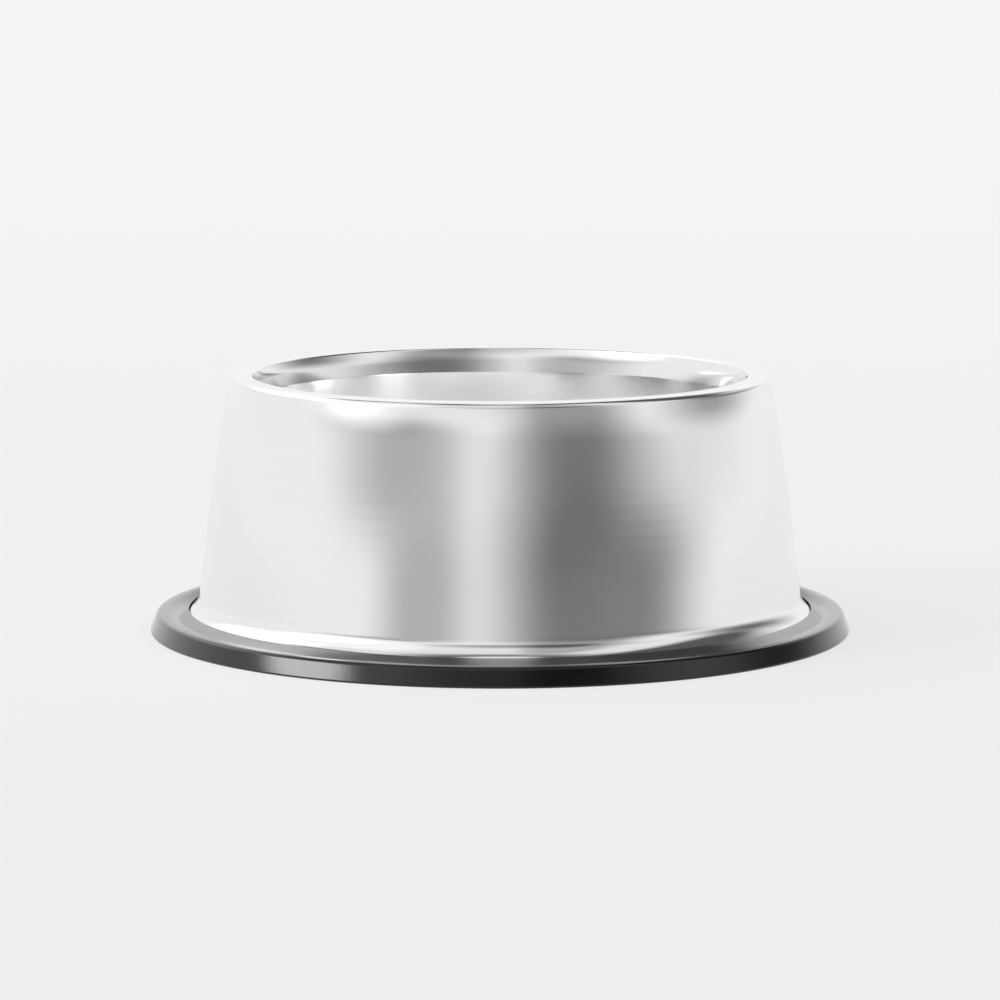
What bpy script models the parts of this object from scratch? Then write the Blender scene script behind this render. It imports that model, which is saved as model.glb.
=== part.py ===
"""Pet food bowl, in metres, with +Z up and the origin at the centre of the foot that it stands on.

One steel sheet makes the whole bowl. It is drawn down into the well, folded over at the lip and
brought down again as a tapered skirt that flares out at its foot. The bowl is open underneath.
A rubber ring grips the flared edge in a groove and is what the bowl stands on.
"""

import math

import bpy

MM = 0.001
TURN_STEPS = 72
ARC_STEP = math.radians(18)
FEWEST_ARC_STEPS = 2
WELD = 1e-6

# Steel sheet, measured to the face that shows
SHEET = 0.7 * MM
BOWL_HEIGHT = 77.0 * MM
MOUTH_RADIUS = 74.1 * MM
MOUTH_BEND = 0.9 * MM
LIP_WIDTH = 6.3 * MM
LIP_BEND = 2.0 * MM

# Well: a flared mouth that eases into a neck, a nearly upright wall and a flat floor
MOUTH_DEPTH = 2.9 * MM
MOUTH_DRAFT = math.radians(15)
MOUTH_EASE = 18.0 * MM
NECK_DEPTH = 7.5 * MM
NECK_DRAFT = math.radians(7.2)
NECK_BEND = 6.0 * MM
WELL_DRAFT = math.radians(3.3)
FLOOR_HEIGHT = 5.5 * MM
FLOOR_BEND = 16.0 * MM

# Skirt: a sloping shoulder under the lip, two tapers with a soft bow between, and the flare
SHOULDER_DEPTH = 7.0 * MM
SHOULDER_DRAFT = math.radians(14)
SHOULDER_BEND = 80.0 * MM
UPPER_SKIRT_DEPTH = 31.0 * MM
UPPER_SKIRT_DRAFT = math.radians(9)
SKIRT_BOW = 600.0 * MM
LOWER_SKIRT_DRAFT = math.radians(6.5)
FLARE_BEND = 7.0 * MM
FLANGE_WIDTH = 1.9 * MM

# Rubber ring
RING_SEAT = 4.0 * MM
RING_GRIP = 1.4 * MM
RING_GRIP_FACE = 0.3 * MM
RING_LAND = 9.15 * MM
RING_DRAFT = math.radians(21)
RING_TOP_EDGE = 1.2 * MM
RING_TOE = 0.5 * MM
RING_HEEL = 4.7 * MM
GROOVE_CLEARANCE = 0.3 * MM

# Heights and radii that both pieces share, worked out from the sizes above
FLANGE_TOP = RING_SEAT + GROOVE_CLEARANCE + SHEET
RING_HEIGHT = FLANGE_TOP + GROOVE_CLEARANCE + RING_GRIP
SHOULDER_FOOT = BOWL_HEIGHT - SHOULDER_DEPTH
SKIRT_BREAK = SHOULDER_FOOT - UPPER_SKIRT_DEPTH
LIP_RADIUS = MOUTH_RADIUS + LIP_WIDTH
SHOULDER_RADIUS = LIP_RADIUS + SHOULDER_DEPTH * math.tan(SHOULDER_DRAFT)
BREAK_RADIUS = SHOULDER_RADIUS + UPPER_SKIRT_DEPTH * math.tan(UPPER_SKIRT_DRAFT)
SKIRT_FOOT_RADIUS = BREAK_RADIUS + (SKIRT_BREAK - FLANGE_TOP) * math.tan(LOWER_SKIRT_DRAFT)
FLARE_TURN = math.pi / 2 - LOWER_SKIRT_DRAFT
FLARE_RADIUS = SKIRT_FOOT_RADIUS + FLARE_BEND * math.tan(FLARE_TURN / 2)
FLARE_HEIGHT = FLANGE_TOP + FLARE_BEND
FLANGE_RADIUS = FLARE_RADIUS + FLANGE_WIDTH

STEEL_COLOUR = (0.78, 0.78, 0.77, 1)
RUBBER_COLOUR = (0.018, 0.018, 0.019, 1)


def direction(start, end):
    """The angle of the line from one point of a profile to the next."""
    return math.atan2(end[1] - start[1], end[0] - start[0])


def turn_at(before, corner, after):
    """How far a profile turns at a corner, to the left if positive."""
    turn = direction(corner, after) - direction(before, corner)
    return (turn + math.pi) % math.tau - math.pi


def arc_steps(turn):
    """The number of straight steps that stand for an arc of this turn."""
    return max(FEWEST_ARC_STEPS, round(abs(turn) / ARC_STEP))


def arc(centre, radius, start, turn):
    """Points along an arc that begins at the angle start and turns by turn."""
    steps = arc_steps(turn)
    angles = [start + turn * i / steps for i in range(steps + 1)]
    return [(centre[0] + radius * math.cos(a), centre[1] + radius * math.sin(a)) for a in angles]


def round_corner(before, corner, after, reach):
    """The arc that touches both sides of a corner at the distance reach from it."""
    turn = turn_at(before, corner, after)
    heading = direction(before, corner)
    radius = reach / math.tan(abs(turn) / 2)
    side = math.copysign(math.pi / 2, turn)
    start = (corner[0] - reach * math.cos(heading), corner[1] - reach * math.sin(heading))
    centre = (start[0] + radius * math.cos(heading + side), start[1] + radius * math.sin(heading + side))
    return arc(centre, radius, heading - side, turn)


def rounded_profile(corners):
    """An open profile through corners, each a point and the radius that rounds it.

    Where two arcs would meet on the side that they share, both are drawn in to fit it."""
    points = [point for point, _ in corners]
    last = len(points) - 1
    turns = [0.0] + [turn_at(*points[i - 1:i + 2]) for i in range(1, last)] + [0.0]
    reaches = [radius * math.tan(abs(turn) / 2) for (_, radius), turn in zip(corners, turns)]
    fits = []
    for i in range(last):
        wanted = reaches[i] + reaches[i + 1]
        length = math.dist(points[i], points[i + 1])
        fits.append(min(1.0, length / wanted) if wanted else 1.0)
    profile = [points[0]]
    for i in range(1, last):
        reach = reaches[i] * min(fits[i - 1], fits[i])
        if reach > WELD:
            profile += round_corner(*points[i - 1:i + 2], reach)
        else:
            profile.append(points[i])
    return profile + [points[last]]


def steel_profile():
    """The face of the sheet that shows, from the middle of the floor over the lip to the flange."""
    flare_foot = BOWL_HEIGHT - MOUTH_DEPTH
    flare_radius = MOUTH_RADIUS - MOUTH_DEPTH * math.tan(MOUTH_DRAFT)
    neck_foot = BOWL_HEIGHT - NECK_DEPTH
    neck_radius = flare_radius - (flare_foot - neck_foot) * math.tan(NECK_DRAFT)
    floor_radius = neck_radius - (neck_foot - FLOOR_HEIGHT) * math.tan(WELL_DRAFT)
    return rounded_profile([
        ((0.0, FLOOR_HEIGHT), 0.0),
        ((floor_radius, FLOOR_HEIGHT), FLOOR_BEND),
        ((neck_radius, neck_foot), NECK_BEND),
        ((flare_radius, flare_foot), MOUTH_EASE),
        ((MOUTH_RADIUS, BOWL_HEIGHT), MOUTH_BEND),
        ((LIP_RADIUS, BOWL_HEIGHT), LIP_BEND),
        ((SHOULDER_RADIUS, SHOULDER_FOOT), SHOULDER_BEND),
        ((BREAK_RADIUS, SKIRT_BREAK), SKIRT_BOW),
        ((SKIRT_FOOT_RADIUS, FLANGE_TOP), FLARE_BEND),
        ((FLANGE_RADIUS, FLANGE_TOP), 0.0),
    ])


def groove_arc(radius, reach):
    """One side of the groove where it follows the flare, from its mouth outwards.

    The arc shares the flare's centre and begins at the distance reach inside it."""
    swing = math.asin(reach / radius)
    return arc((FLARE_RADIUS, FLARE_HEIGHT), radius, -math.pi / 2 - swing, swing)


def ring_profile():
    """The closed section of the ring: land, outer face, foot, heel and the groove for the flange."""
    over = FLARE_BEND - GROOVE_CLEARANCE
    under = FLARE_BEND + SHEET + GROOVE_CLEARANCE
    lip_rise = FLARE_HEIGHT - (RING_HEIGHT - RING_GRIP_FACE)
    upper_side = groove_arc(over, math.sqrt(over ** 2 - lip_rise ** 2))
    lower_side = groove_arc(under, RING_HEEL)
    grip_radius = upper_side[0][0]
    heel_radius = lower_side[0][0]
    groove_end = FLANGE_RADIUS + GROOVE_CLEARANCE
    land_radius = grip_radius + RING_LAND
    foot_radius = land_radius + RING_HEIGHT * math.tan(RING_DRAFT)
    outside = rounded_profile([
        ((grip_radius, RING_HEIGHT), 0.0),
        ((land_radius, RING_HEIGHT), RING_TOP_EDGE),
        ((foot_radius, 0.0), RING_TOE),
        ((heel_radius, 0.0), 0.0),
    ])
    groove = lower_side + [(groove_end, lower_side[-1][1]), (groove_end, upper_side[-1][1])]
    return outside + groove + upper_side[::-1]


def material(name, colour, roughness, metallic):
    """A plain Principled material."""
    made = bpy.data.materials.new(name)
    made.use_nodes = True
    shader = made.node_tree.nodes["Principled BSDF"]
    shader.inputs["Base Color"].default_value = colour
    shader.inputs["Roughness"].default_value = roughness
    shader.inputs["Metallic"].default_value = metallic
    return made


def turned(name, profile, closed, collection, finish):
    """An object that turns a profile of (radius, height) points round the Z axis."""
    count = len(profile)
    edges = [(i, i + 1) for i in range(count - 1)]
    if closed:
        edges.append((count - 1, 0))
    mesh = bpy.data.meshes.new(name)
    mesh.from_pydata([(radius, 0.0, height) for radius, height in profile], edges, [])
    mesh.materials.append(finish)
    piece = bpy.data.objects.new(name, mesh)
    collection.objects.link(piece)
    screw = piece.modifiers.new("turn", "SCREW")
    screw.axis = "Z"
    screw.angle = math.tau
    screw.steps = TURN_STEPS
    screw.render_steps = TURN_STEPS
    screw.use_merge_vertices = True
    screw.merge_threshold = WELD
    screw.use_smooth_shade = True
    return piece


def add_steel_shell(collection):
    """The bowl itself, a sheet that thickens away from the face that shows."""
    steel = material("steel", STEEL_COLOUR, 0.25, 1.0)
    shell = turned("steel_shell", steel_profile(), False, collection, steel)
    sheet = shell.modifiers.new("sheet", "SOLIDIFY")
    sheet.thickness = SHEET
    sheet.offset = -1.0
    sheet.use_even_offset = True
    return shell


def add_base_ring(collection):
    """The rubber ring that holds the flange and keeps the bowl from sliding."""
    rubber = material("rubber", RUBBER_COLOUR, 0.45, 0.0)
    return turned("base_ring", ring_profile(), True, collection, rubber)


def clear_scene():
    """Removes what the scene holds, such as the default cube."""
    for old in list(bpy.data.objects):
        bpy.data.objects.remove(old)


def main():
    clear_scene()
    bowl = bpy.data.collections.new("pet_food_bowl")
    bpy.context.scene.collection.children.link(bowl)
    add_steel_shell(bowl)
    add_base_ring(bowl)


main()
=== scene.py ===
import math

import bpy
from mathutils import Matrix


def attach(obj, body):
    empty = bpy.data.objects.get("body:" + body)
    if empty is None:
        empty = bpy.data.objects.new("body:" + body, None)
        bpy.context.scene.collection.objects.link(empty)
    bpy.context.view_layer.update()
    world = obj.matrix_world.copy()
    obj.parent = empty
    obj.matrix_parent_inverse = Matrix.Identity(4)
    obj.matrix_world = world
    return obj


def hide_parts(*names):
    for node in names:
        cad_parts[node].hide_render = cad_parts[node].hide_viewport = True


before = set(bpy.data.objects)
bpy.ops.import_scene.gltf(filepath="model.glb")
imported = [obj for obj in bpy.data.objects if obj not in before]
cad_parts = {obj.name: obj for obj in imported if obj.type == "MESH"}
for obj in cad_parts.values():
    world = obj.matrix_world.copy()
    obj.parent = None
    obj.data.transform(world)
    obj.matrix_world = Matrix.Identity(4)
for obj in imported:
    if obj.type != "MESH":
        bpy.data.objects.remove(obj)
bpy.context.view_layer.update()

MM = 0.001
TURN_STEPS = 256
ARC_STEP = math.radians(3)
FEWEST_ARC_STEPS = 6
LONGEST_STEP = 1.0 * MM
WELD = 1e-6

# The looks of a steel pet food bowl on a rubber base ring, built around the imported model. Both
# pieces are turned from a section with the sizes of the CAD part. Only the fall of the ring's
# land, towards a slightly rounder edge, is added here.

# Steel sheet, measured to the face that shows
SHEET = 0.7 * MM
BOWL_HEIGHT = 77.0 * MM
MOUTH_RADIUS = 74.1 * MM
MOUTH_BEND = 0.9 * MM
LIP_WIDTH = 6.3 * MM
LIP_BEND = 2.0 * MM

# Well: a flared mouth that eases into a neck, a nearly upright wall and a flat floor. All but the
# floor is rounded from a program's fit to the reflections in the photograph.
MOUTH_DEPTH = 2.9 * MM
MOUTH_DRAFT = math.radians(15)
MOUTH_EASE = 18.0 * MM
NECK_DEPTH = 7.5 * MM
NECK_DRAFT = math.radians(7.2)
NECK_BEND = 6.0 * MM
WELL_DRAFT = math.radians(3.3)
FLOOR_HEIGHT = 5.5 * MM
FLOOR_BEND = 16.0 * MM

# Skirt: a sloping shoulder under the lip, two tapers with a soft bow between, and the flare
SHOULDER_DEPTH = 7.0 * MM
SHOULDER_DRAFT = math.radians(14)
SHOULDER_BEND = 80.0 * MM
UPPER_SKIRT_DEPTH = 31.0 * MM
UPPER_SKIRT_DRAFT = math.radians(9)
SKIRT_BOW = 600.0 * MM
LOWER_SKIRT_DRAFT = math.radians(6.5)
FLARE_BEND = 7.0 * MM
FLANGE_WIDTH = 1.9 * MM

# Rubber ring
RING_SEAT = 4.0 * MM
RING_GRIP = 1.4 * MM
RING_GRIP_FACE = 0.3 * MM
RING_LAND = 9.15 * MM
RING_LAND_FALL = 1.05 * MM
RING_DRAFT = math.radians(21)
RING_TOP_EDGE = 1.4 * MM
RING_TOE = 0.5 * MM
RING_HEEL = 4.7 * MM
GROOVE_CLEARANCE = 0.3 * MM

# Heights and radii that both pieces share, worked out from the sizes above
FLANGE_TOP = RING_SEAT + GROOVE_CLEARANCE + SHEET
RING_HEIGHT = FLANGE_TOP + GROOVE_CLEARANCE + RING_GRIP
SHOULDER_FOOT = BOWL_HEIGHT - SHOULDER_DEPTH
SKIRT_BREAK = SHOULDER_FOOT - UPPER_SKIRT_DEPTH
LIP_RADIUS = MOUTH_RADIUS + LIP_WIDTH
SHOULDER_RADIUS = LIP_RADIUS + SHOULDER_DEPTH * math.tan(SHOULDER_DRAFT)
BREAK_RADIUS = SHOULDER_RADIUS + UPPER_SKIRT_DEPTH * math.tan(UPPER_SKIRT_DRAFT)
SKIRT_FOOT_RADIUS = BREAK_RADIUS + (SKIRT_BREAK - FLANGE_TOP) * math.tan(LOWER_SKIRT_DRAFT)
FLARE_TURN = math.pi / 2 - LOWER_SKIRT_DRAFT
FLARE_RADIUS = SKIRT_FOOT_RADIUS + FLARE_BEND * math.tan(FLARE_TURN / 2)
FLARE_HEIGHT = FLANGE_TOP + FLARE_BEND
FLANGE_RADIUS = FLARE_RADIUS + FLANGE_WIDTH

# Where the values of a noise lie: the part of its range that is spread over a tone or a roughness
NARROW = (0.35, 0.65)
MIDDLE = (0.3, 0.7)
WIDE = (0.2, 0.8)

# Steel finish: fine lines and wider bands turned round the axis, and soft smudges
STEEL_LINE_ALONG = 14.0
STEEL_LINE_ACROSS = 6000.0
STEEL_LINE_DEPTH = 0.0006 * MM
STEEL_LINE_ROUGHNESS = 0.012
STEEL_LINE_DETAIL = 2.0
STEEL_BAND_ALONG = 3.0
STEEL_BAND_ACROSS = 600.0
STEEL_BAND_DEPTH = 0.0008 * MM
STEEL_BAND_DETAIL = 3.0
STEEL_SMUDGE_SCALE = 22.0
STEEL_SMUDGE_DETAIL = 4.0
STEEL_SMUDGE_SHARE = 0.5
STEEL_TONES = (0.912, 0.928)
STEEL_TINT = 0.996
STEEL_ROUGHNESS = (0.088, 0.114)

# Deep in the well: the roughness that wear adds to the steel, the paler tone painted as light, and
# the heights they span
WELL_ROUGHNESS = 0.14
WELL_PAINTED_LIGHT = 0.04
WELL_WEAR_AND_LIGHT_TOP = 71.0 * MM
WELL_WEAR_AND_LIGHT_FULL = 60.0 * MM

# Rubber finish: moulded grain, slight waves and a faint bloom
RUBBER_GRAIN_SCALE = 1500.0
RUBBER_GRAIN_DEPTH = 0.008 * MM
RUBBER_GRAIN_DETAIL = 2.0
RUBBER_GRAIN_SHARE = 0.3
RUBBER_WAVE_SCALE = 520.0
RUBBER_WAVE_DEPTH = 0.012 * MM
RUBBER_WAVE_DETAIL = 3.0
RUBBER_BLOOM_SCALE = 45.0
RUBBER_BLOOM_DETAIL = 4.0
RUBBER_TONES = (0.0015, 0.003)
RUBBER_ROUGHNESS = (0.2, 0.29)
RUBBER_IOR = 1.2
RUBBER_COAT_ROUGHNESS = 0.12

# Light of the room, from the horizon up to the rise where it stops changing
HORIZON_LIGHT = 0.91
OVERHEAD_LIGHT = 0.8
OVERHEAD_RISE = math.radians(60)
ALL_ROUND = 720

# Camera, from a program's fit to edges of the bowl measured in the photograph
CAMERA_DISTANCE = 1.291
CAMERA_HEIGHT = 0.2162
CAMERA_PITCH = math.radians(7.836)
CAMERA_LENS = 156.2
SENSOR = 36.0
CAMERA_REACH = 100.0

# Floor: its tone rises from near to far, a painted gradient of light, and part of it is seen
# without shadow. It lies a hair under the ring's foot, so that no two faces share a plane.
FLOOR_SIDE = 16.0
FLOOR_DROP = 0.02 * MM
FLOOR_NEAR = -0.6
FLOOR_FAR = 2.5
FLOOR_NEAR_TONE = 0.892
FLOOR_FAR_TONE = 0.948
FLOOR_OWN_LIGHT = 0.8
FLOOR_SPECK_SCALE = 900.0
FLOOR_SPECK_TONE = 0.003
FLOOR_SPECK_DETAIL = 3.0


def direction(start, end):
    """The angle of the line from one point of a profile to the next."""
    return math.atan2(end[1] - start[1], end[0] - start[0])


def turn_at(before, corner, after):
    """How far a profile turns at a corner, to the left if positive."""
    turn = direction(corner, after) - direction(before, corner)
    return (turn + math.pi) % math.tau - math.pi


def arc(centre, radius, start, turn):
    """Points along an arc that begins at the angle start and turns by turn."""
    steps = max(FEWEST_ARC_STEPS, round(abs(turn) / ARC_STEP))
    angles = [start + turn * i / steps for i in range(steps + 1)]
    return [(centre[0] + radius * math.cos(a), centre[1] + radius * math.sin(a)) for a in angles]


def round_corner(before, corner, after, reach):
    """The arc that touches both sides of a corner at the distance reach from it."""
    turn = turn_at(before, corner, after)
    heading = direction(before, corner)
    radius = reach / math.tan(abs(turn) / 2)
    side = math.copysign(math.pi / 2, turn)
    start = (corner[0] - reach * math.cos(heading), corner[1] - reach * math.sin(heading))
    across = heading + side
    centre = (start[0] + radius * math.cos(across), start[1] + radius * math.sin(across))
    return arc(centre, radius, heading - side, turn)


def rounded_profile(corners):
    """An open profile through corners, each a point and the radius that rounds it.

    Where two arcs would meet on the side that they share, both are drawn in to fit it."""
    points = [point for point, _ in corners]
    last = len(points) - 1
    turns = [0.0] + [turn_at(*points[i - 1:i + 2]) for i in range(1, last)] + [0.0]
    reaches = [radius * math.tan(abs(turn) / 2) for (_, radius), turn in zip(corners, turns)]
    fits = []
    for i in range(last):
        wanted = reaches[i] + reaches[i + 1]
        length = math.dist(points[i], points[i + 1])
        fits.append(min(1.0, length / wanted) if wanted else 1.0)
    profile = [points[0]]
    for i in range(1, last):
        reach = reaches[i] * min(fits[i - 1], fits[i])
        if reach > WELD:
            profile += round_corner(*points[i - 1:i + 2], reach)
        else:
            profile.append(points[i])
    return profile + [points[last]]


def evenly(profile):
    """The profile with points added so that no step is long."""
    out = [profile[0]]
    for start, end in zip(profile, profile[1:]):
        length = math.dist(start, end)
        if length < WELD:
            continue
        steps = max(1, math.ceil(length / LONGEST_STEP))
        for i in range(1, steps + 1):
            t = i / steps
            radius = start[0] + (end[0] - start[0]) * t
            height = start[1] + (end[1] - start[1]) * t
            out.append((radius, height))
    return out


def steel_face():
    """The face of the sheet that shows, from the well's middle over the lip to the flange."""
    flare_foot = BOWL_HEIGHT - MOUTH_DEPTH
    flare_radius = MOUTH_RADIUS - MOUTH_DEPTH * math.tan(MOUTH_DRAFT)
    neck_foot = BOWL_HEIGHT - NECK_DEPTH
    neck_radius = flare_radius - (flare_foot - neck_foot) * math.tan(NECK_DRAFT)
    floor_radius = neck_radius - (neck_foot - FLOOR_HEIGHT) * math.tan(WELL_DRAFT)
    return rounded_profile([
        ((0.0, FLOOR_HEIGHT), 0.0),
        ((floor_radius, FLOOR_HEIGHT), FLOOR_BEND),
        ((neck_radius, neck_foot), NECK_BEND),
        ((flare_radius, flare_foot), MOUTH_EASE),
        ((MOUTH_RADIUS, BOWL_HEIGHT), MOUTH_BEND),
        ((LIP_RADIUS, BOWL_HEIGHT), LIP_BEND),
        ((SHOULDER_RADIUS, SHOULDER_FOOT), SHOULDER_BEND),
        ((BREAK_RADIUS, SKIRT_BREAK), SKIRT_BOW),
        ((SKIRT_FOOT_RADIUS, FLANGE_TOP), FLARE_BEND),
        ((FLANGE_RADIUS, FLANGE_TOP), 0.0),
    ])


def groove_arc(radius, reach):
    """One side of the groove where it follows the flare, from its mouth outwards."""
    swing = math.asin(reach / radius)
    return arc((FLARE_RADIUS, FLARE_HEIGHT), radius, -math.pi / 2 - swing, swing)


def ring_section():
    """The closed section of the ring: land, outer face, foot, heel and the flange's groove."""
    over = FLARE_BEND - GROOVE_CLEARANCE
    under = FLARE_BEND + SHEET + GROOVE_CLEARANCE
    lip_rise = FLARE_HEIGHT - (RING_HEIGHT - RING_GRIP_FACE)
    upper_side = groove_arc(over, math.sqrt(over ** 2 - lip_rise ** 2))
    lower_side = groove_arc(under, RING_HEEL)
    grip_radius = upper_side[0][0]
    heel_radius = lower_side[0][0]
    groove_end = FLANGE_RADIUS + GROOVE_CLEARANCE
    foot_radius = grip_radius + RING_LAND + RING_HEIGHT * math.tan(RING_DRAFT)
    land_edge = RING_HEIGHT - RING_LAND_FALL
    land_radius = foot_radius - land_edge * math.tan(RING_DRAFT)
    outside = rounded_profile([
        ((grip_radius, RING_HEIGHT), 0.0),
        ((land_radius, land_edge), RING_TOP_EDGE),
        ((foot_radius, 0.0), RING_TOE),
        ((heel_radius, 0.0), 0.0),
    ])
    groove = lower_side + [(groove_end, lower_side[-1][1]), (groove_end, upper_side[-1][1])]
    return outside + groove + upper_side[::-1]


def turned(name, profile, closed, finish):
    """An object that turns a profile of (radius, height) points round the Z axis."""
    edges = [(i, i + 1) for i in range(len(profile) - 1)]
    if closed:
        edges.append((len(profile) - 1, 0))
    mesh = bpy.data.meshes.new(name)
    mesh.from_pydata([(radius, 0.0, height) for radius, height in profile], edges, [])
    mesh.materials.append(finish)
    piece = bpy.data.objects.new(name, mesh)
    bpy.context.scene.collection.objects.link(piece)
    screw = piece.modifiers.new("turn", "SCREW")
    screw.axis = "Z"
    screw.angle = math.tau
    screw.steps = TURN_STEPS
    screw.render_steps = TURN_STEPS
    screw.use_merge_vertices = True
    screw.merge_threshold = WELD
    screw.use_smooth_shade = True
    return piece


def put(tree, kind, inputs=None, **settings):
    """Adds a node. Each input is a plain value, or an output socket to link from."""
    made = tree.nodes.new(kind)
    for name, value in settings.items():
        setattr(made, name, value)
    for key, value in (inputs or {}).items():
        if isinstance(value, bpy.types.NodeSocket):
            tree.links.new(value, made.inputs[key])
        else:
            made.inputs[key].default_value = value
    return made


def calc(tree, operation, *values):
    """The output of a Math node."""
    return put(tree, "ShaderNodeMath", dict(enumerate(values)), operation=operation).outputs[0]


def ramp(tree, value, low, high, at_low, at_high, shape="LINEAR"):
    """The value mapped from low..high to at_low..at_high and kept inside that range."""
    inputs = {"Value": value, "From Min": low, "From Max": high}
    inputs |= {"To Min": at_low, "To Max": at_high}
    return put(tree, "ShaderNodeMapRange", inputs, interpolation_type=shape).outputs["Result"]


def seen_directly(tree):
    """1 for the rays of the camera and of mirror images, 0 for the rays that light a surface."""
    rays = put(tree, "ShaderNodeLightPath").outputs
    mirrored = calc(tree, "MAXIMUM", rays["Is Glossy Ray"], rays["Is Transmission Ray"])
    return calc(tree, "MAXIMUM", rays["Is Camera Ray"], mirrored)


def principled(name):
    """A new material and its shader."""
    made = bpy.data.materials.new(name)
    made.use_nodes = True
    return made, made.node_tree.nodes["Principled BSDF"]


def noise(tree, vector, scale, detail, w=None):
    """A noise value of 0 to 1. With w the noise has four dimensions."""
    inputs = {"Vector": vector, "Scale": scale, "Detail": detail}
    if w is None:
        return put(tree, "ShaderNodeTexNoise", inputs).outputs[0]
    inputs["W"] = w
    return put(tree, "ShaderNodeTexNoise", inputs, noise_dimensions="4D").outputs[0]


def blended(tree, first, second, share):
    """The first value by its share and the second by the rest."""
    rest = calc(tree, "MULTIPLY", second, 1 - share)
    return calc(tree, "ADD", calc(tree, "MULTIPLY", first, share), rest)


def bump(tree, height, depth, under=None):
    """The normal of a relief of the given depth, laid over another one if that is given."""
    inputs = {"Height": height, "Distance": depth}
    if under is not None:
        inputs["Normal"] = under
    return put(tree, "ShaderNodeBump", inputs).outputs[0]


def axis_radius(tree, axes):
    """The way from the Z axis to a point as a flat vector, and its length."""
    flat = put(tree, "ShaderNodeCombineXYZ", {0: axes["X"], 1: axes["Y"]}).outputs[0]
    length = put(tree, "ShaderNodeVectorMath", {0: flat}, operation="LENGTH").outputs["Value"]
    return flat, length


def grey(tree, value, tint):
    """A colour of the given brightness, its blue part weaker by the factor tint."""
    blue = calc(tree, "MULTIPLY", value, tint)
    inputs = {"Red": value, "Green": value, "Blue": blue}
    return put(tree, "ShaderNodeCombineColor", inputs).outputs[0]


def turned_grain(tree, place, along, across, detail):
    """Streaks round the Z axis: along is their fineness round it, across that over the profile."""
    axes = put(tree, "ShaderNodeSeparateXYZ", {0: place}).outputs
    flat, radius = axis_radius(tree, axes)
    ways = put(tree, "ShaderNodeVectorMath", {0: flat}, operation="NORMALIZE").outputs["Vector"]
    ways = put(tree, "ShaderNodeSeparateXYZ", {0: ways}).outputs
    spot = {
        0: calc(tree, "MULTIPLY", ways["X"], along),
        1: calc(tree, "MULTIPLY", ways["Y"], along),
        2: calc(tree, "MULTIPLY", axes["Z"], across),
    }
    spot = put(tree, "ShaderNodeCombineXYZ", spot).outputs[0]
    return noise(tree, spot, 1.0, detail, calc(tree, "MULTIPLY", radius, across))


def well_wear_and_painted_light(tree, place):
    """1 deep in the well, where use has dulled the steel and its tone is painted paler as light,
    fading to 0 above.
    """
    axes = put(tree, "ShaderNodeSeparateXYZ", {0: place}).outputs
    inside = calc(tree, "LESS_THAN", axis_radius(tree, axes)[1], MOUTH_RADIUS)
    wear_and_painted_light = ramp(tree, axes["Z"], WELL_WEAR_AND_LIGHT_FULL, WELL_WEAR_AND_LIGHT_TOP, 1.0, 0.0, "SMOOTHSTEP")
    return calc(tree, "MULTIPLY", inside, wear_and_painted_light)


def steel_material():
    """Satin steel with a turned grain, soft smudges, and a well that wear dulls and painted light
    pales.
    """
    made, shader = principled("satin_steel")
    tree = made.node_tree
    place = put(tree, "ShaderNodeTexCoord").outputs["Object"]
    fine = turned_grain(tree, place, STEEL_LINE_ALONG, STEEL_LINE_ACROSS, STEEL_LINE_DETAIL)
    bands = turned_grain(tree, place, STEEL_BAND_ALONG, STEEL_BAND_ACROSS, STEEL_BAND_DETAIL)
    smudges = noise(tree, place, STEEL_SMUDGE_SCALE, STEEL_SMUDGE_DETAIL)
    blend = blended(tree, smudges, bands, STEEL_SMUDGE_SHARE)
    wear_and_painted_light = well_wear_and_painted_light(tree, place)
    tone = ramp(tree, blend, *NARROW, *STEEL_TONES)
    # Painted light: deep in the well the steel's tone is raised, so that its lower wall shows
    # brighter
    tone = calc(tree, "MULTIPLY_ADD", wear_and_painted_light, WELL_PAINTED_LIGHT, tone)
    tree.links.new(grey(tree, tone, STEEL_TINT), shader.inputs["Base Color"])
    rough = ramp(tree, smudges, *MIDDLE, *STEEL_ROUGHNESS)
    lines = ramp(tree, fine, *WIDE, -STEEL_LINE_ROUGHNESS, STEEL_LINE_ROUGHNESS)
    rough = calc(tree, "ADD", rough, lines)
    rough = calc(tree, "MULTIPLY_ADD", wear_and_painted_light, WELL_ROUGHNESS, rough)
    tree.links.new(rough, shader.inputs["Roughness"])
    shader.inputs["Metallic"].default_value = 1.0
    relief = bump(tree, bands, STEEL_BAND_DEPTH, bump(tree, fine, STEEL_LINE_DEPTH))
    tree.links.new(relief, shader.inputs["Normal"])
    return made


def rubber_material():
    """Black rubber with a moulded grain under a glossy skin."""
    made, shader = principled("black_rubber")
    tree = made.node_tree
    place = put(tree, "ShaderNodeTexCoord").outputs["Object"]
    grain = noise(tree, place, RUBBER_GRAIN_SCALE, RUBBER_GRAIN_DETAIL)
    waves = noise(tree, place, RUBBER_WAVE_SCALE, RUBBER_WAVE_DETAIL)
    bloom = noise(tree, place, RUBBER_BLOOM_SCALE, RUBBER_BLOOM_DETAIL)
    blend = blended(tree, grain, bloom, RUBBER_GRAIN_SHARE)
    tone = ramp(tree, blend, *MIDDLE, *RUBBER_TONES)
    tree.links.new(grey(tree, tone, 1.0), shader.inputs["Base Color"])
    tree.links.new(ramp(tree, blend, *MIDDLE, *RUBBER_ROUGHNESS), shader.inputs["Roughness"])
    shader.inputs["IOR"].default_value = RUBBER_IOR
    shader.inputs["Coat Weight"].default_value = 1.0
    shader.inputs["Coat Roughness"].default_value = RUBBER_COAT_ROUGHNESS
    relief = bump(tree, waves, RUBBER_WAVE_DEPTH, bump(tree, grain, RUBBER_GRAIN_DEPTH))
    tree.links.new(relief, shader.inputs["Normal"])
    tree.links.new(relief, shader.inputs["Coat Normal"])
    return made


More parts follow.
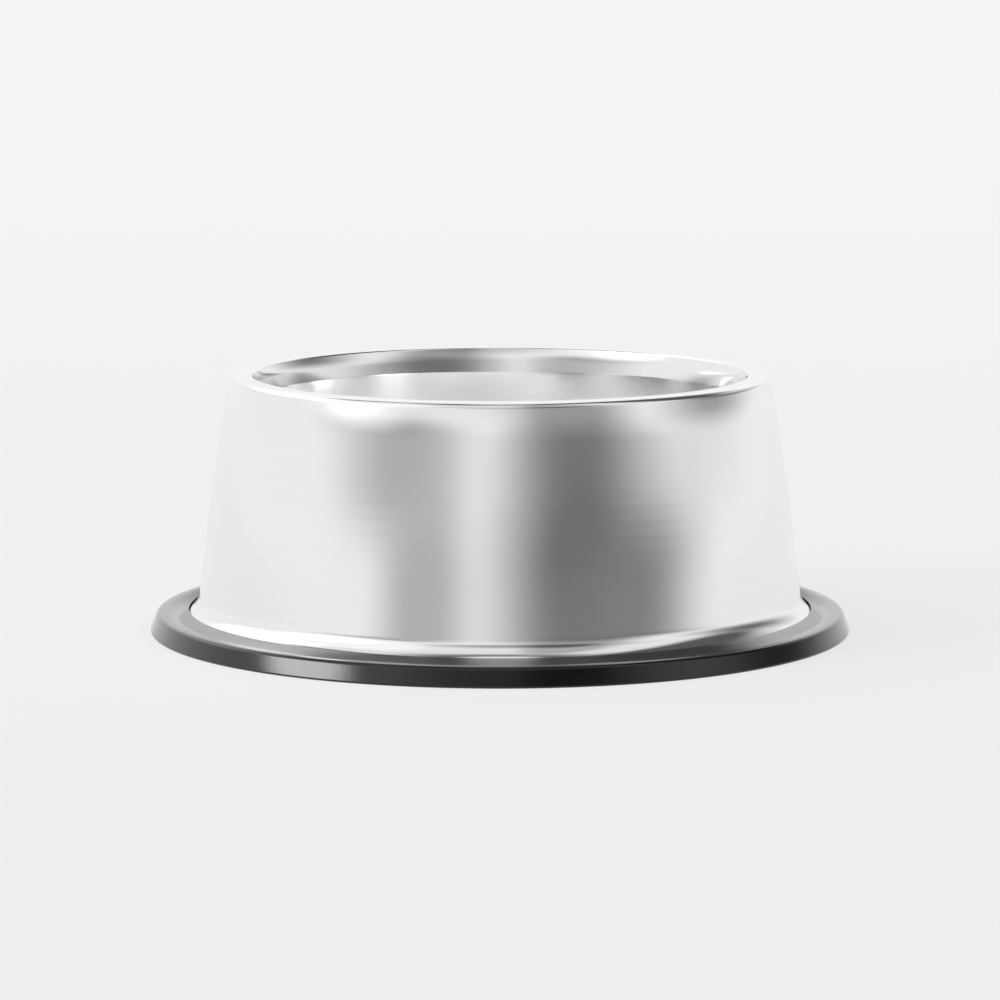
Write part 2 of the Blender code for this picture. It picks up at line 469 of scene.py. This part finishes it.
def floor_material():
    """A pale floor that is clear from below, so that the bowl's underside can be looked at."""
    made, shader = principled("pale_floor")
    tree = made.node_tree
    place = put(tree, "ShaderNodeNewGeometry").outputs["Position"]
    depth = put(tree, "ShaderNodeSeparateXYZ", {0: place}).outputs["Y"]
    # Painted light: the floor's tone grows paler towards the back
    tone = ramp(tree, depth, FLOOR_NEAR, FLOOR_FAR, FLOOR_NEAR_TONE, FLOOR_FAR_TONE)
    specks = noise(tree, place, FLOOR_SPECK_SCALE, FLOOR_SPECK_DETAIL)
    specks = ramp(tree, specks, *MIDDLE, -FLOOR_SPECK_TONE, FLOOR_SPECK_TONE)
    colour = grey(tree, calc(tree, "ADD", tone, specks), 1.0)
    tree.links.new(colour, shader.inputs["Base Color"])
    shader.inputs["Roughness"].default_value = 1.0
    shader.inputs["Specular IOR Level"].default_value = 0.0
    own = put(tree, "ShaderNodeEmission", {"Color": colour, "Strength": 1.0}).outputs[0]
    share = calc(tree, "MULTIPLY", seen_directly(tree), FLOOR_OWN_LIGHT)
    mixed = put(tree, "ShaderNodeMixShader", {0: share, 1: shader.outputs[0], 2: own}).outputs[0]
    below = put(tree, "ShaderNodeNewGeometry").outputs["Backfacing"]
    clear = put(tree, "ShaderNodeBsdfTransparent").outputs[0]
    mixed = put(tree, "ShaderNodeMixShader", {0: below, 1: mixed, 2: clear}).outputs[0]
    tree.links.new(mixed, tree.nodes["Material Output"].inputs["Surface"])
    return made


def add_shell():
    """The steel sheet, as thick as the real one."""
    shell = turned("bowl_steel", evenly(steel_face()), False, steel_material())
    sheet = shell.modifiers.new("sheet", "SOLIDIFY")
    sheet.thickness = SHEET
    sheet.offset = -1.0
    sheet.use_even_offset = True
    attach(shell, "root")
    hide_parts("steel_shell")


def add_ring():
    """The rubber ring that grips the sheet's flange."""
    ring = turned("bowl_ring", ring_section(), True, rubber_material())
    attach(ring, "root")
    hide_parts("base_ring")


def add_floor():
    """The floor that the bowl stands on, wide enough to fill every view."""
    mesh = bpy.data.meshes.new("floor")
    side, low = FLOOR_SIDE, -FLOOR_DROP
    corners = [(-side, -side, low), (side, -side, low), (side, side, low), (-side, side, low)]
    mesh.from_pydata(corners, [], [(0, 1, 2, 3)])
    floor = bpy.data.objects.new("floor", mesh)
    bpy.context.scene.collection.objects.link(floor)
    mesh.materials.append(floor_material())


def sky_ways(tree):
    """The angle round the bowl, 0 at the front and growing to the right, and the rise."""
    axes = put(tree, "ShaderNodeTexCoord").outputs["Generated"]
    axes = put(tree, "ShaderNodeSeparateXYZ", {0: axes}).outputs
    around = calc(tree, "ARCTAN2", axes["X"], calc(tree, "MULTIPLY", axes["Y"], -1.0))
    return around, calc(tree, "ARCSINE", axes["Z"])


def lay(tree, ways, light, level, at, rise, wide, tall, edge):
    """Lays a soft oval of one level over the sky's light, its middle and half sizes in degrees."""
    across = calc(tree, "SUBTRACT", ways[0], math.radians(at))
    across = calc(tree, "WRAP", across, math.pi, -math.pi)
    across = calc(tree, "DIVIDE", across, math.radians(wide))
    up = calc(tree, "SUBTRACT", ways[1], math.radians(rise))
    up = calc(tree, "DIVIDE", up, math.radians(tall))
    squares = calc(tree, "MULTIPLY_ADD", across, across, calc(tree, "MULTIPLY", up, up))
    inside = ramp(tree, calc(tree, "SQRT", squares), 1 - edge, 1 + edge, 1.0, 0.0, "SMOOTHSTEP")
    return calc(tree, "MULTIPLY_ADD", inside, calc(tree, "SUBTRACT", level, light), light)


def add_world():
    """The room that lights the bowl and that the steel mirrors. The camera sees it plain."""
    world = bpy.data.worlds.new("studio")
    world.use_nodes = True
    tree = world.node_tree
    ways = sky_ways(tree)
    plain = ramp(tree, ways[1], 0.0, OVERHEAD_RISE, HORIZON_LIGHT, OVERHEAD_LIGHT)
    light = plain
    # Most of the ovals' numbers come from a program's fit to the reflections in the photograph,
    # rounded and then changed. The others were set one by one.
    # The room: a pale wall on the left and one behind, then the dark above them, and a dim ceiling
    # with a light at its middle
    light = lay(tree, ways, light, level=1.8, at=-122, rise=36, wide=42, tall=14, edge=0.5)
    light = lay(tree, ways, light, level=1.0, at=180, rise=42, wide=44, tall=32, edge=0.4)
    light = lay(tree, ways, light, level=0.1, at=134, rise=60, wide=24, tall=28, edge=0.45)
    light = lay(tree, ways, light, level=0.1, at=-125, rise=65, wide=11, tall=18, edge=0.5)
    light = lay(tree, ways, light, level=0.1, at=107, rise=48, wide=23, tall=27, edge=0.35)
    light = lay(tree, ways, light, level=0.13, at=0, rise=99, wide=ALL_ROUND, tall=27, edge=0.3)
    light = lay(tree, ways, light, level=0.9, at=0, rise=92, wide=ALL_ROUND, tall=9, edge=0.3)
    # The camera's side: a dark canopy on a tall column, and below it the dark of the skirt's band
    light = lay(tree, ways, light, level=0.42, at=30, rise=45, wide=20, tall=32, edge=0.4)
    light = lay(tree, ways, light, level=0.38, at=14, rise=32, wide=40, tall=8, edge=0.6)
    light = lay(tree, ways, light, level=0.1, at=24, rise=32, wide=15, tall=9, edge=0.5)
    light = lay(tree, ways, light, level=0.35, at=30, rise=18, wide=22, tall=8, edge=0.7)
    light = lay(tree, ways, light, level=0.155, at=31, rise=5, wide=28.5, tall=10, edge=0.75)
    light = lay(tree, ways, light, level=0.19, at=50, rise=2.5, wide=26, tall=4, edge=0.95)
    # The left: grey near the level, and above it a softbox with its glow
    light = lay(tree, ways, light, level=0.4, at=-46, rise=12.5, wide=27, tall=6, edge=0.65)
    light = lay(tree, ways, light, level=0.46, at=-29, rise=3, wide=15.5, tall=7, edge=0.7)
    light = lay(tree, ways, light, level=1.0, at=-66, rise=36, wide=34, tall=24, edge=0.25)
    light = lay(tree, ways, light, level=10.0, at=-71, rise=26, wide=17, tall=7, edge=0.4)
    # The right: a grey screen
    light = lay(tree, ways, light, level=0.14, at=110, rise=16, wide=26, tall=8, edge=0.9)
    camera = put(tree, "ShaderNodeLightPath").outputs["Is Camera Ray"]
    shown = calc(tree, "MULTIPLY_ADD", camera, calc(tree, "SUBTRACT", plain, light), light)
    background = tree.nodes["Background"]
    background.inputs["Color"].default_value = (1, 1, 1, 1)
    tree.links.new(shown, background.inputs["Strength"])
    bpy.context.scene.world = world


def add_camera():
    """The camera at the photograph's place."""
    data = bpy.data.cameras.new("camera")
    data.lens = CAMERA_LENS
    data.sensor_width = SENSOR
    data.clip_end = CAMERA_REACH
    camera = bpy.data.objects.new("camera", data)
    camera.location = (0, -CAMERA_DISTANCE, CAMERA_HEIGHT)
    camera.rotation_euler = (math.pi / 2 - CAMERA_PITCH, 0, 0)
    bpy.context.scene.collection.objects.link(camera)
    bpy.context.scene.camera = camera


add_shell()
add_ring()
add_floor()
add_world()
add_camera()
bpy.context.scene.view_settings.view_transform = "Standard"
